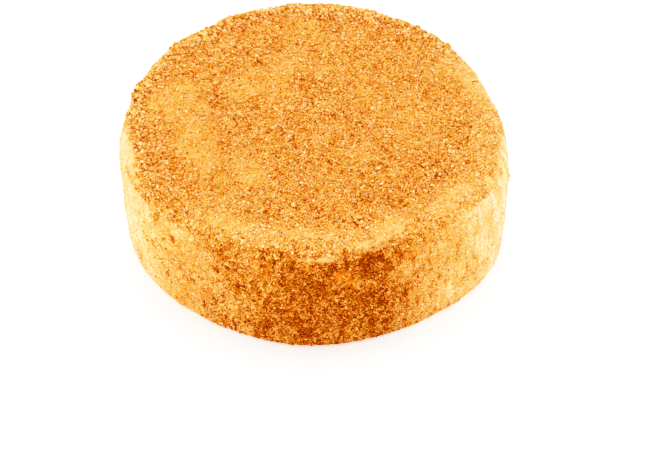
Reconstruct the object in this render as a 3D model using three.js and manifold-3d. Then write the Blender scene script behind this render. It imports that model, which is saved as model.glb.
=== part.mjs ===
// A whole round honey cake, as it comes from the kitchen: one solid of layered sponge and cream that
// nothing has cut, pressed all over with crumbs of the same sponge. The outline is uneven, the top
// edge is a soft shoulder, the foot has spread a little at the front, and the coarsest crumbs stand
// out of the coat. Millimetres, +Z up, origin on the table under the middle of the cake.
import * as THREE from "three";
import { mergeVertices } from "three/addons/utils/BufferGeometryUtils.js";
import Module from "manifold-3d";

// ---------------------------------------------------------------- driving sizes
const DIAMETER = 240;
const HEIGHT = 70;
const SHOULDER = 12; // radius of the rounded top edge
const FOOT_ROUND = 3.5; // radius of the rounded bottom edge
const FOOT_INSET = 2; // how far the foot draws in from the wall, on average
const FOOT_LEAN = 2.2; // the left foot draws in by this much more, the right one by less
const FOOT_SPREAD = 4; // how far the foot has spread at the front
const WALL_BULGE = 1; // how far the wall swells at half height

// The outline's slow waves: how many lobes go round, how high they are, and where one of them peaks.
const OUTLINE_WAVES = [
  { lobes: 2, height: 2.6, peak: -83 },
  { lobes: 3, height: 1.5, peak: -29 },
  { lobes: 4, height: 0.5, peak: -34 },
  { lobes: 5, height: 0.9, peak: -20 },
  { lobes: 6, height: 0.6, peak: -29 },
];

// The crumb coat's relief, from the palm that pressed it on down to single clods.
const RELIEF = [
  { grain: 46, height: 1.1, seed: 3 },
  { grain: 17, height: 0.9, seed: 11 },
  { grain: 9, height: 0.7, seed: 29 },
];
const RIM_RIDGE = { height: 1.2, width: 11, middle: 95, spread: 75 }; // loose crumbs heaped round the back
const TOP_DISH = 1.2; // the top is this much lower in the middle than near its edge

// Coarse crumbs that stand out of the coat, the largest first. Those of the rim lie between two
// angles, on the edge of the flat and on the upper part of the shoulder; those of the top reach out
// over a share of the flat; those of the wall lie in rows, each somewhere in a band of its row.
const RIM_CRUMBS = { count: 62, size: 8, from: -10, to: 200, flatFrom: 0.93, shoulderTo: 0.5 };
const TOP_CRUMBS = { count: 66, size: 5.5, reach: 0.92, sizeStep: 7 };
const WALL_CRUMBS = { count: 46, size: 5, rows: 4, bandFrom: 0.2, bandWidth: 0.5 };
const CRUMB_SIZES = 0.5; // the smallest crumbs of a part are this much smaller than its largest
const CRUMB_WIDTH = 0.8; // a crumb's width and thickness, as shares of its length
const CRUMB_THICKNESS = 0.62;
const CRUMB_CORNER = { least: 0.78, spread: 0.42 }; // how far its corners stand out, against a ball's
const CRUMB_TILT = 0.5; // how far a crumb may lie out of level with the coat, in radians
const CRUMB_SINK = 0.06; // how deep a crumb's middle lies under the surface, as a share of its size
const SEED = 20;

// ---------------------------------------------------------------- mesh fineness
const TOP_RINGS = 18; // ring k of the top holds RING_STEP * k points
const RING_STEP = 6;
const ROUND_POINTS = TOP_RINGS * RING_STEP;
const SHOULDER_RINGS = 3;
const WALL_RINGS = 9;
const FOOT_RINGS = 2;

const RADIUS = DIAMETER / 2;
const UP = new THREE.Vector3(0, 0, 1);
const GOLDEN_SHARE = 0.618034; // steps of this share of a stretch, or of the angle, fill it evenly
const GOLDEN_ANGLE = Math.PI * (3 - Math.sqrt(5));
const CRUMB_COLOUR = 0xe2a050;

// ---------------------------------------------------------------- numbers by rule
/** A repeatable number from 0 to 1 for the corner of a noise cell, from the usual sine hash. */
function cornerValue(i, j, k, seed) {
  const wave = Math.sin(i * 127.1 + j * 311.7 + k * 74.7 + seed * 19.19) * 43758.5453;
  return wave - Math.floor(wave);
}

/** Smooth noise from -1 to 1 at a point, with lumps about one grain across. */
function noise(point, grain, seed) {
  const scaled = point.clone().divideScalar(grain);
  const cell = scaled.clone().floor();
  const share = scaled.clone().sub(cell);
  const ease = (t) => t * t * (3 - 2 * t);
  let sum = 0;
  for (let corner = 0; corner < 8; corner++) {
    const [di, dj, dk] = [corner & 1, (corner >> 1) & 1, corner >> 2];
    const weight =
      (di ? ease(share.x) : 1 - ease(share.x)) *
      (dj ? ease(share.y) : 1 - ease(share.y)) *
      (dk ? ease(share.z) : 1 - ease(share.z));
    sum += weight * cornerValue(cell.x + di, cell.y + dj, cell.z + dk, seed);
  }
  return 2 * sum - 1;
}

/** A seeded random draw from 0 to 1, by the mulberry rule. */
function seededDraw(seed) {
  let state = seed;
  return () => {
    state = (state + 0x6d2b79f5) | 0;
    let mixed = Math.imul(state ^ (state >>> 15), 1 | state);
    mixed = (mixed + Math.imul(mixed ^ (mixed >>> 7), 61 | mixed)) ^ mixed;
    return ((mixed ^ (mixed >>> 14)) >>> 0) / 4294967296;
  };
}

// ---------------------------------------------------------------- the cake's form
/** The wall's distance from the middle at an angle in radians, before relief. */
function outline(angle) {
  return OUTLINE_WAVES.reduce(
    (radius, { lobes, height, peak }) =>
      radius + height * Math.cos(lobes * (angle - THREE.MathUtils.degToRad(peak))),
    RADIUS,
  );
}

/** How far the wall stands in from the outline at a height, from the shoulder down to the foot. */
function wallInset(angle, z) {
  const down = 1 - z / HEIGHT;
  const front = Math.max(0, -Math.sin(angle));
  const foot = FOOT_INSET - FOOT_LEAN * Math.cos(angle) - FOOT_SPREAD * front;
  return down * foot - WALL_BULGE * Math.sin(Math.PI * down);
}

/** The loose crumbs that lie heaped along the back of the rim, as a height over the top. */
function rimRidge(angle, inFromRim) {
  const turn = THREE.MathUtils.euclideanModulo(
    THREE.MathUtils.radToDeg(angle) - RIM_RIDGE.middle + 180,
    360,
  ) - 180;
  const along = Math.exp(-((turn / RIM_RIDGE.spread) ** 2));
  const across = Math.exp(-((inFromRim / RIM_RIDGE.width) ** 2));
  return RIM_RIDGE.height * along * across;
}

/** A point in the plane of the profile turned to its angle round the cake. */
function turned(angle, radius, z) {
  return new THREE.Vector3(radius * Math.cos(angle), radius * Math.sin(angle), z);
}

/** A point of the smooth cake and its outward normal on the flat of the top; share runs from 0 to 1. */
function topPoint(angle, share) {
  const flat = outline(angle) - SHOULDER;
  const radius = share * flat;
  const z = HEIGHT - TOP_DISH * (1 - share * share) + rimRidge(angle, flat - radius);
  return { point: turned(angle, radius, z), normal: new THREE.Vector3(0, 0, 1) };
}

/** The same on the shoulder; share runs from 0 at the top to 1 at the wall. */
function shoulderPoint(angle, share) {
  const tilt = (share * Math.PI) / 2;
  const radius = outline(angle) - SHOULDER * (1 - Math.sin(tilt));
  const z = HEIGHT - SHOULDER * (1 - Math.cos(tilt)) + rimRidge(angle, 0) * Math.cos(tilt);
  const inset = wallInset(angle, HEIGHT - SHOULDER) * share;
  return {
    point: turned(angle, radius - inset, z),
    normal: turned(angle, Math.sin(tilt), Math.cos(tilt)),
  };
}

/** The same on the wall; share runs from 0 under the shoulder to 1 above the foot's round. */
function wallPoint(angle, share) {
  const z = THREE.MathUtils.lerp(HEIGHT - SHOULDER, FOOT_ROUND, share);
  return { point: turned(angle, outline(angle) - wallInset(angle, z), z), normal: turned(angle, 1, 0) };
}

/** The same on the foot's round; share runs from 0 at the wall to 1 on the table. */
function footPoint(angle, share) {
  const tilt = (share * Math.PI) / 2;
  const radius = outline(angle) - wallInset(angle, FOOT_ROUND) - FOOT_ROUND * (1 - Math.cos(tilt));
  return {
    point: turned(angle, radius, FOOT_ROUND * (1 - Math.sin(tilt))),
    normal: turned(angle, Math.cos(tilt), -Math.sin(tilt)),
  };
}

/** Moves a surface point out or in by the crumb coat's relief, which fades out towards the table. */
function withRelief({ point, normal }) {
  const lift = RELIEF.reduce((sum, { grain, height, seed }) => sum + height * noise(point, grain, seed), 0);
  const clearOfTable = Math.min(1, point.z / (2 * FOOT_ROUND));
  return point.clone().addScaledVector(normal, lift * clearOfTable);
}

// ---------------------------------------------------------------- the body's mesh
/** Every ring of the body from the middle of the top to the edge of the base, as lists of points. */
function bodyRings() {
  const ring = (count, place) =>
    Array.from({ length: count }, (_, i) => withRelief(place((i / count) * 2 * Math.PI)));
  const rings = [];
  for (let k = 1; k <= TOP_RINGS; k++) rings.push(ring(k * RING_STEP, (a) => topPoint(a, k / TOP_RINGS)));
  const stretches = [
    [shoulderPoint, SHOULDER_RINGS],
    [wallPoint, WALL_RINGS],
    [footPoint, FOOT_RINGS],
  ];
  for (const [place, count] of stretches)
    for (let k = 1; k <= count; k++) rings.push(ring(ROUND_POINTS, (a) => place(a, k / count)));
  return rings;
}

/** The faces between two rings, where the outer one may hold more points than the inner. */
function bandFaces(inner, outer) {
  const faces = [];
  let [i, j] = [0, 0];
  while (i < inner.count || j < outer.count) {
    const here = [inner.start + (i % inner.count), outer.start + (j % outer.count)];
    const innerLags = (i + 1) / inner.count <= (j + 1) / outer.count;
    if (j >= outer.count || (i < inner.count && innerLags)) {
      faces.push(here[0], here[1], inner.start + ((i + 1) % inner.count));
      i++;
    } else {
      faces.push(here[0], here[1], outer.start + ((j + 1) % outer.count));
      j++;
    }
  }
  return faces;
}

/** The cake without its coarse crumbs, as one closed mesh with a flat base. */
function bodyGeometry() {
  const rings = bodyRings();
  const points = [withRelief(topPoint(0, 0))];
  const spans = [];
  for (const ring of rings) {
    spans.push({ start: points.length, count: ring.length });
    points.push(...ring);
  }
  const baseMiddle = points.length;
  points.push(new THREE.Vector3(0, 0, 0));

  const faces = [];
  const first = spans[0];
  const last = spans[spans.length - 1];
  for (let i = 0; i < first.count; i++) faces.push(0, first.start + i, first.start + ((i + 1) % first.count));
  for (let k = 1; k < spans.length; k++) faces.push(...bandFaces(spans[k - 1], spans[k]));
  for (let i = 0; i < last.count; i++)
    faces.push(baseMiddle, last.start + ((i + 1) % last.count), last.start + i);

  return new THREE.BufferGeometry()
    .setAttribute("position", new THREE.Float32BufferAttribute(points.flatMap((p) => p.toArray()), 3))
    .setIndex(faces);
}

// ---------------------------------------------------------------- coarse crumbs
/** One broken crumb: an icosahedron with its corners pulled about, lying flat on the coat. */
function crumbGeometry(size, normal, draw) {
  const geometry = mergeVertices(new THREE.IcosahedronGeometry(size / 2).deleteAttribute("normal")
    .deleteAttribute("uv"));
  const corners = geometry.getAttribute("position");
  const corner = new THREE.Vector3();
  for (let i = 0; i < corners.count; i++) {
    corner.fromBufferAttribute(corners, i);
    corner.multiplyScalar(CRUMB_CORNER.least + CRUMB_CORNER.spread * draw());
    corners.setXYZ(i, corner.x, corner.y, corner.z);
  }
  geometry.scale(1, CRUMB_WIDTH, CRUMB_THICKNESS);
  geometry.rotateZ(2 * Math.PI * draw());
  geometry.rotateX(CRUMB_TILT * (2 * draw() - 1));
  return geometry.applyQuaternion(new THREE.Quaternion().setFromUnitVectors(UP, normal));
}

/** A crumb's size: most are a good deal smaller than the largest, which come first. */
function crumbSize(largest, rank, count) {
  return largest * (1 - CRUMB_SIZES * Math.sqrt(rank / count));
}

/** Where the coarse crumbs lie and how large they are, part by part of the cake. */
function crumbPlaces(draw) {
  const places = [];
  for (let n = 0; n < RIM_CRUMBS.count; n++) {
    const even = (n * GOLDEN_SHARE) % 1;
    const angle = THREE.MathUtils.degToRad(THREE.MathUtils.lerp(RIM_CRUMBS.from, RIM_CRUMBS.to, even));
    const place =
      n % 2
        ? topPoint(angle, THREE.MathUtils.lerp(RIM_CRUMBS.flatFrom, 1, draw()))
        : shoulderPoint(angle, RIM_CRUMBS.shoulderTo * draw());
    places.push({ ...place, size: crumbSize(RIM_CRUMBS.size, n, RIM_CRUMBS.count) });
  }
  for (let n = 0; n < TOP_CRUMBS.count; n++) {
    const share = Math.sqrt((n + 0.5) / TOP_CRUMBS.count) * TOP_CRUMBS.reach;
    const rank = (n * TOP_CRUMBS.sizeStep) % TOP_CRUMBS.count;
    places.push({
      ...topPoint(n * GOLDEN_ANGLE, share),
      size: crumbSize(TOP_CRUMBS.size, rank, TOP_CRUMBS.count),
    });
  }
  for (let n = 0; n < WALL_CRUMBS.count; n++) {
    const row = n % WALL_CRUMBS.rows;
    const share = (row + WALL_CRUMBS.bandFrom + WALL_CRUMBS.bandWidth * draw()) / WALL_CRUMBS.rows;
    places.push({
      ...wallPoint(n * GOLDEN_ANGLE, share),
      size: crumbSize(WALL_CRUMBS.size, n, WALL_CRUMBS.count),
    });
  }
  return places;
}

// ---------------------------------------------------------------- fusing them
const wasm = await Module();
wasm.setup();

/** A three.js geometry with merged corners as a manifold solid. */
function solidFrom(geometry) {
  return new wasm.Manifold(
    new wasm.Mesh({
      numProp: 3,
      vertProperties: new Float32Array(geometry.getAttribute("position").array),
      triVerts: new Uint32Array(geometry.getIndex().array),
    }),
  );
}

/** The fused solid as a three.js geometry. */
function geometryFrom(solid) {
  const mesh = solid.getMesh();
  return new THREE.BufferGeometry()
    .setAttribute("position", new THREE.BufferAttribute(mesh.vertProperties, 3))
    .setIndex(new THREE.BufferAttribute(mesh.triVerts, 1));
}

/** The whole cake with its coarse crumbs fused on, centred over the origin. */
function cakeGeometry() {
  const draw = seededDraw(SEED);
  const solids = [solidFrom(bodyGeometry())];
  for (const { point, normal, size } of crumbPlaces(draw)) {
    const middle = withRelief({ point, normal }).addScaledVector(normal, -CRUMB_SINK * size);
    solids.push(solidFrom(crumbGeometry(size, normal, draw).translate(...middle.toArray())));
  }
  const geometry = geometryFrom(wasm.Manifold.union(solids));
  geometry.computeBoundingBox();
  const middle = geometry.boundingBox.getCenter(new THREE.Vector3());
  geometry.translate(-middle.x, -middle.y, 0);
  geometry.computeVertexNormals();
  return geometry;
}

/** The cake as a named mesh in crumb colour. */
function honeyCake() {
  const crumbCoat = new THREE.MeshStandardMaterial({ color: CRUMB_COLOUR, roughness: 0.9, metalness: 0 });
  const mesh = new THREE.Mesh(cakeGeometry(), crumbCoat);
  mesh.name = "honey_cake";
  return mesh;
}

const cake = new THREE.Group();
cake.add(honeyCake());

export default cake;
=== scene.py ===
"""Dresses a whole round honey cake: a crumb coat pressed over cream, with its loose crumbs.

The coat replaces the plain solid and keeps its form. It takes that solid's skin, draws it in by the
depth of a crumb and roughens it. Crumbs of several kinds then lie on it, thickest along the back of
the rim, where they were swept together, and thinnest on the smears of bare cream.
Lengths are in millimetres until a mesh is made, and in metres from then on.
"""

import logging
import math
from collections.abc import Callable
from dataclasses import dataclass, field
from enum import Enum
from functools import cache, partial
from itertools import product
from typing import ClassVar

import bmesh
import bpy
import numpy as np
from mathutils import Matrix, Vector


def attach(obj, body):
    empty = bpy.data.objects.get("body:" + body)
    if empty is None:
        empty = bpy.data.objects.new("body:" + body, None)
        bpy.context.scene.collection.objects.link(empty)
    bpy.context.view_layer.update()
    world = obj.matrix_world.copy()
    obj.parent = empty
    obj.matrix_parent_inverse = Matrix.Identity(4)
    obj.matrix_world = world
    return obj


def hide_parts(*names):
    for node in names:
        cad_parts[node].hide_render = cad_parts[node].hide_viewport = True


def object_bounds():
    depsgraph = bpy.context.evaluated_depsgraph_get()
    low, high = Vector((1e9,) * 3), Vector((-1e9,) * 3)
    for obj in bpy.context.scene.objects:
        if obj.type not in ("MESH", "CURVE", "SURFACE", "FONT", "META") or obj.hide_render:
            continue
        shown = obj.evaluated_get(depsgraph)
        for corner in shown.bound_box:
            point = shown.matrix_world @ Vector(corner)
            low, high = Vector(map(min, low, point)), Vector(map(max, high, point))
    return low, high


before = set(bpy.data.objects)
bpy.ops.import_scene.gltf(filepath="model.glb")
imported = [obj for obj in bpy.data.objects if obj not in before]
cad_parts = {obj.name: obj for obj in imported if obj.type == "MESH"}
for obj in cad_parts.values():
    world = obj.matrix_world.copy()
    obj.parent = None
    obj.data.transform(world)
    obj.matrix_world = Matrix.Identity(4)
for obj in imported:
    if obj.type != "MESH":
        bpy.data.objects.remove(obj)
CAD_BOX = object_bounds()

LOG = logging.getLogger("honey_cake")
MM = 0.001
CAKE_NODE = "honey_cake"
CAKE_BODY = "root"
TONE = "tone"
CREAM = "cream"
SMOOTH = "smooth"
HONEY = "honey"
BAKE_MAP = "OFBake"
FRONT = -90.0  # The angle of the cake's front, in degrees from +X.

Array = np.ndarray
Reach = tuple[float, float]
Weights = tuple[tuple[str, float], ...]


# ------------------------------------------------------------------------------------------ helpers
def linear(colour: str) -> tuple[float, float, float, float]:
    """Turns an sRGB hex colour into the linear colour that a shader takes.

    Args:
        colour: Six hex digits after a hash sign.

    Returns:
        Linear red, green and blue, and an alpha of one.
    """
    parts = [int(colour[start : start + 2], 16) / 255 for start in (1, 3, 5)]
    red, green, blue = (p / 12.92 if p <= 0.04045 else ((p + 0.055) / 1.055) ** 2.4 for p in parts)
    return red, green, blue, 1.0


def ease(values: Array, low: float, high: float) -> Array:
    """Rises smoothly from 0 at low to 1 at high.

    Args:
        values: Where to read the curve.
        low: The value that gives 0.
        high: The value that gives 1; it may lie under low, and the curve then falls.

    Returns:
        The curve's height at each value.
    """
    share = np.clip((values - low) / (high - low), 0.0, 1.0)
    return share * share * (3.0 - 2.0 * share)


def unit(rows: Array) -> Array:
    """Scales every row to a length of 1."""
    return rows / np.linalg.norm(rows, axis=1)[:, None]


def add_node(
    tree: bpy.types.NodeTree,
    kind: str,
    settings: dict[str, object] | None = None,
    inputs: dict[str | int, object] | None = None,
) -> bpy.types.Node:
    """Adds a node with its settings, and sets or links its inputs.

    Args:
        tree: The node tree that gets the node.
        kind: The node's Blender type.
        settings: The node's own fields.
        inputs: A value or an output socket for each input, by its name or number.

    Returns:
        The new node.
    """
    made = tree.nodes.new(kind)
    for name, value in (settings or {}).items():
        setattr(made, name, value)
    for name, value in (inputs or {}).items():
        if isinstance(value, bpy.types.NodeSocket):
            tree.links.new(value, made.inputs[name])
        else:
            made.inputs[name].default_value = value
    return made


def blank_material(name: str) -> bpy.types.Material:
    """Makes a material with an empty node tree.

    Args:
        name: Its name.

    Returns:
        The material.
    """
    made = bpy.data.materials.new(name)
    made.use_nodes = True
    made.node_tree.nodes.clear()
    return made


def add_object(name: str, data: bpy.types.ID) -> bpy.types.Object:
    """Makes an object and links it to the scene.

    Args:
        name: Its name.
        data: Its mesh, light or camera.

    Returns:
        The object.
    """
    made = bpy.data.objects.new(name, data)
    bpy.context.scene.collection.objects.link(made)
    return made


def read_mesh(mesh: bpy.types.Mesh) -> tuple[Array, Array]:
    """Reads a mesh in metres.

    Args:
        mesh: The mesh.

    Returns:
        Its corners in millimetres, and the outward direction at each.
    """
    points, normals = np.empty(len(mesh.vertices) * 3), np.empty(len(mesh.vertices) * 3, np.float32)
    mesh.vertices.foreach_get("co", points)
    mesh.vertex_normals.foreach_get("vector", normals)
    return points.reshape(-1, 3) / MM, normals.reshape(-1, 3).astype(float)


@cache
def lattice(seed: int) -> Array:
    """Makes the block of random numbers from -1 to 1 that one noise pattern is read from."""
    side = NoiseLayer.side
    return np.random.default_rng(seed).uniform(-1.0, 1.0, side**3).astype(np.float32)


@dataclass(frozen=True)
class NoiseLayer:
    """One layer of smooth noise from -1 to 1, with lumps about one grain across.

    Attributes:
        weight: How much it counts in a mix.
        grain: How wide a lump is, in millimetres.
        seed: Which of the many patterns it is.
        stretch: How many times as tall as wide its lumps are, where a spatula drew them down the
            wall, or 0 where they are round.
        side: How many lumps a pattern holds each way before it repeats.
        turn: How far the first pattern is turned out of line with the cake, in radians.
        axis: What the patterns are turned about.
    """

    weight: float
    grain: float
    seed: int
    stretch: float = 0.0
    side: ClassVar[int] = 128
    turn: ClassVar[float] = 0.7
    axis: ClassVar[tuple[float, float, float]] = (1.0, 2.0, 3.0)

    def at(self, points: Array) -> Array:
        """Reads the noise.

        Args:
            points: Places in millimetres, one row each.

        Returns:
            The noise at each place.
        """
        # The lattice is turned out of line with the cake, so that its rows never show.
        turned = points @ np.array(Matrix.Rotation(self.turn + self.seed, 3, Vector(self.axis))).T
        scaled = turned / self.grain
        cell = np.floor(scaled).astype(np.int64)
        share = (scaled - cell).astype(np.float32)
        share = share * share * (3.0 - 2.0 * share)
        ends = ((1.0 - share, cell % self.side), (share, (cell + 1) % self.side))
        numbers = lattice(self.seed)
        total = np.zeros(len(points), np.float32)
        for (wx, x), (wy, y), (wz, z) in product(ends, repeat=3):
            index = (x[:, 0] * self.side + y[:, 1]) * self.side + z[:, 2]
            total += wx[:, 0] * wy[:, 1] * wz[:, 2] * numbers[index]
        return total.astype(float)


Layers = tuple[NoiseLayer, ...]


# --------------------------------------------------------------------------------- places on the cake
@dataclass(frozen=True)
class Patch:
    """A place on the coat that looks unlike the rest, such as a smear of bare cream.

    Attributes:
        angle: Where it lies round the cake, in degrees from +X.
        radius: How far from the middle of the cake it lies.
        height: How far over the table it lies.
        along: Half its length round the cake.
        across: Half its width down the cake's profile.
        strength: How much it shows, up to 1.
        edge: What makes its outline ragged.
        fade: How far out it fades, where 1 is its outline.
    """

    angle: float
    radius: float
    height: float
    along: float
    across: float
    strength: float
    edge: ClassVar[Layers] = (NoiseLayer(0.35, 3.0, 71), NoiseLayer(0.3, 8.0, 72))
    fade: ClassVar[Reach] = (1.25, 0.65)

    def share(self, spots: "Spots") -> Array:
        """Says how much each spot belongs to the patch.

        Args:
            spots: Places on the coat.

        Returns:
            From 0 to the patch's strength at each.
        """
        arc = np.radians(spots.turn_from(self.angle)) * self.radius / self.along
        down = np.hypot(spots.radius - self.radius, spots.height - self.height) / self.across
        return self.strength * ease(np.hypot(arc, down) + spots.mix(self.edge), *self.fade)


@dataclass
class Spots:
    """Places on the coat, with what the zones need to know of each.

    Attributes:
        points: Places in millimetres.
        normals: The coat's outward direction at each place.
        angle: Where each lies round the cake, in degrees from +X.
        radius: How far each lies from the middle.
        height: How far each lies over the table.
        known: The noise that was read before.
        wall_radius: How far out the wall lies, for drawing it flat.
        slant: How far the spatula's strokes lean on the left, as a share of their height.
        slanted: The turn from the front where they start to lean, and where they lean in full.
    """

    points: Array
    normals: Array
    angle: Array = field(init=False)
    radius: Array = field(init=False)
    height: Array = field(init=False)
    known: dict[tuple[float, int, float], Array] = field(init=False, default_factory=dict)
    wall_radius: ClassVar[float] = 120.0
    slant: ClassVar[float] = 0.55
    slanted: ClassVar[Reach] = (-15.0, -45.0)

    def __post_init__(self) -> None:
        """Works out where each place lies round the cake."""
        self.angle = np.degrees(np.arctan2(self.points[:, 1], self.points[:, 0]))
        self.radius = np.hypot(self.points[:, 0], self.points[:, 1])
        self.height = self.points[:, 2]

    def turn_from(self, angle: float) -> Array:
        """Gives how far each place lies round the cake from an angle, in degrees, from -180 to 180."""
        return (self.angle - angle + 180.0) % 360.0 - 180.0

    def drawn_out(self, stretch: float) -> Array:
        """Draws the wall flat for noise that a spatula drew out down it, and aslant on the left.

        Args:
            stretch: How many times as tall as wide the lumps are.

        Returns:
            The place in the noise that each place on the cake reads.
        """
        turn = self.turn_from(FRONT)
        lean = self.slant * ease(turn, *self.slanted)
        around = np.radians(turn) * self.wall_radius + lean * self.height
        return np.stack([around, np.zeros(len(turn)), self.height / stretch], axis=1)

    def noise(self, layer: NoiseLayer) -> Array:
        """Reads one layer of noise, without its weight, and keeps it for the next reader.

        Args:
            layer: The layer.

        Returns:
            The noise at each place.
        """
        key = layer.grain, layer.seed, layer.stretch
        if key not in self.known:
            self.known[key] = layer.at(self.drawn_out(layer.stretch) if layer.stretch else self.points)
        return self.known[key]

    def mix(self, layers: Layers) -> Array:
        """Adds up layers of noise by their weights."""
        return sum(layer.weight * self.noise(layer) for layer in layers)


def make_patches(*rows: tuple[float, ...]) -> tuple[Patch, ...]:
    """Makes a patch of each row of measures."""
    return tuple(Patch(*row) for row in rows)


@dataclass(frozen=True)
class Zones:
    """Where on the cake each kind of surface lies, as shares from 0 to 1.

    A reach is a pair: the value that gives a share of 0, and the one that gives 1. Turns are in
    degrees from the front. What is called an edge is the noise that makes one ragged.
    """

    # The top, with how far it gives way at its bare edges, and the very foot of the wall.
    slope: Reach = (0.5, 0.9)
    top_edge: Layers = (NoiseLayer(0.12, 5.0, 18), NoiseLayer(0.12, 2.5, 19, 3.3), NoiseLayer(0.08, 30.0, 20))
    edge_bareness: float = 0.9
    foot: Reach = (0.36, 1.8)
    # The band of loose crumbs along the back of the rim, with its heaps.
    rim: float = 108.0
    crest: float = 2.0
    band: float = 6.5
    band_angle: float = 122.0
    band_reach: Reach = (98.0, 72.0)
    mound_layers: Layers = (NoiseLayer(1.0, 13.0, 52), NoiseLayer(0.5, 5.0, 53))
    mound_reach: Reach = (-0.1, 0.7)
    # The outermost band of the top, which is made lighter.
    outer_band_angle: float = -42.0
    outer_band_around: Reach = (96.0, 70.0)
    outer_band_inside: Reach = (88.0, 106.0)
    outer_band_outside: Reach = (118.0, 112.0)
    # The front stretch of the wall, darker partly for its toasted crumbs and partly with painted shade,
    # with a thin fringe on its left.
    fringe: float = 0.25
    fringe_reach: Reach = (-36.0, -24.0)
    front_left: Reach = (-19.0, -10.0)
    front_right: Reach = (32.0, 19.0)
    front_edge: Layers = (NoiseLayer(4.0, 14.0, 10), NoiseLayer(2.0, 5.0, 23), NoiseLayer(4.0, 2.6, 27, 4.0))
    # The pale stretches beside it, partly cream and straw crumbs and partly painted light, which crumbs
    # cover again at the back.
    pale_right: Reach = (18.0, 68.0)
    pale_left: Reach = (-22.0, -74.0)
    pale_edge: Layers = (NoiseLayer(5.0, 14.0, 10), NoiseLayer(4.0, 4.0, 11, 3.3))
    back_cover: float = 0.45
    back_reach: Reach = (125.0, 160.0)
    # The spatula's dents: how strong they are on each side, and the turns where they start and end.
    dented: tuple[tuple[float, Reach, Reach], ...] = (
        (1.0, (-14.0, -24.0), (-84.0, -50.0)),
        (0.6, (14.0, 30.0), (80.0, 50.0)),
    )
    dented_height: Reach = (64.0, 52.0)
    dent_strokes: Layers = (NoiseLayer(1.0, 2.3, 21, 2.0), NoiseLayer(0.3, 9.0, 22))
    dent_reach: Reach = (0.32, 0.6)
    dent_breaks: Layers = (NoiseLayer(1.0, 3.6, 25),)
    dent_whole: Reach = (-0.3, 0.15)
    # How tones stray from crumb to crumb, and from one drift of crumbs to the next.
    clusters: Layers = (NoiseLayer(0.11, 2.2, 65), NoiseLayer(0.04, 4.2, 66))
    cluster_scale: Weights = (("front", 0.6), ("pale", -0.6))
    drifts: Layers = (NoiseLayer(0.03, 6.5, 61), NoiseLayer(0.02, 17.0, 62))
    drift_scale: Weights = (("front", 2.5),)
    outer_band_lighter: float = 0.15
    # Stray smooth stretches of the top, and how smooth each zone makes the coat.
    stray_pressed: float = 0.35
    stray_layers: Layers = (NoiseLayer(1.0, 24.0, 5), NoiseLayer(0.4, 9.0, 6))
    stray_reach: Reach = (0.2, 0.6)
    smoothness: Weights = (("cream", 1.2), ("soaked", 0.4), ("pale", 0.75), ("pressed", 0.35))
    # What breaks up the soaked stretches. Then the wall's clumps and the gaps between them: how far
    # the front opens them, how open they are beside it, how far cream fills them in the pale wall,
    # and how far a dark clump counts as one.
    soaked_breaks: Layers = (NoiseLayer(1.0, 3.2, 24),)
    soaked_whole: Reach = (-0.6, 0.2)
    clumps: Layers = (NoiseLayer(0.5, 4.0, 7), NoiseLayer(1.0, 2.2, 8))
    gap_streaks: Layers = (NoiseLayer(0.5, 2.0, 12, 3.3),)
    gap_reach: Reach = (0.15, 0.7)
    front_gaps: float = 0.2
    side_gaps: float = 0.4
    pale_filled: float = 0.85
    scorched_gaps: float = 0.6
    # The pits of the top, which are most where it's rough; painted shade darkens the coat and crumbs in them.
    rough_layers: Layers = (NoiseLayer(1.0, 15.0, 13), NoiseLayer(0.5, 7.0, 14))
    rough_reach: Reach = (-0.5, 0.5)
    least_rough: float = 0.4
    pit_layers: Layers = (NoiseLayer(1.0, 2.4, 15), NoiseLayer(0.5, 1.5, 16))
    pit_reach: Reach = (0.35, 0.8)
    rim_pits: float = 0.7
    # Smears of cream, stretches pressed by a palm, stretches soaked with honey or fat, clumps from
    # the dark crust, and where the top's crumbs stop short of the shoulder.
    cream_patches: tuple[Patch, ...] = make_patches(
        (-88.0, 119.0, 65.0, 15.0, 1.8, 0.46), (-74.0, 113.5, 68.0, 14.0, 4.0, 0.3),
        (-126.0, 119.2, 60.4, 2.4, 2.0, 0.8), (-130.0, 118.6, 60.0, 9.0, 5.0, 0.4),
        (-28.0, 116.0, 67.6, 4.5, 4.0, 0.5), (-22.0, 117.5, 63.0, 9.0, 5.0, 0.3),
        (-2.0, 110.5, 68.5, 8.0, 2.0, 0.5), (-106.0, 120.4, 53.0, 1.2, 9.0, 0.3),
        (72.0, 116.0, 64.0, 9.0, 3.0, 0.5), (164.0, 115.0, 66.0, 7.0, 3.0, 0.5),
    )
    pressed_patches: tuple[Patch, ...] = make_patches(
        (168.0, 86.0, 70.0, 22.0, 16.0, 0.9), (136.0, 52.0, 70.0, 24.0, 13.0, 0.7),
        (-160.0, 74.0, 70.0, 30.0, 11.0, 0.9), (-128.0, 62.0, 70.0, 16.0, 9.0, 0.8),
        (-120.0, 104.0, 70.0, 14.0, 6.0, 0.8), (-66.0, 104.0, 70.0, 12.0, 7.0, 0.8),
        (-92.0, 102.0, 70.0, 24.0, 5.0, 0.4), (-42.0, 106.0, 70.0, 18.0, 7.0, 0.9),
        (8.0, 60.0, 70.0, 14.0, 10.0, 0.4), (20.0, 104.0, 70.0, 22.0, 6.0, 0.8),
    )
    soaked_patches: tuple[Patch, ...] = make_patches(
        (-81.0, 121.0, 54.2, 9.0, 7.0, 0.8), (-68.0, 119.6, 60.0, 5.0, 3.5, 0.5),
        (-104.0, 121.0, 55.0, 9.0, 7.0, 0.7), (-93.0, 120.9, 61.0, 7.0, 3.0, 0.6),
        (-64.0, 119.5, 58.0, 6.0, 5.0, 0.5), (-34.0, 117.6, 65.6, 3.0, 2.5, 0.7),
        (-51.0, 119.4, 59.4, 1.6, 3.0, 0.7), (-42.0, 119.7, 60.3, 1.6, 3.5, 0.6),
        (-131.0, 119.1, 7.0, 6.0, 4.0, 0.8),
    )
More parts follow.
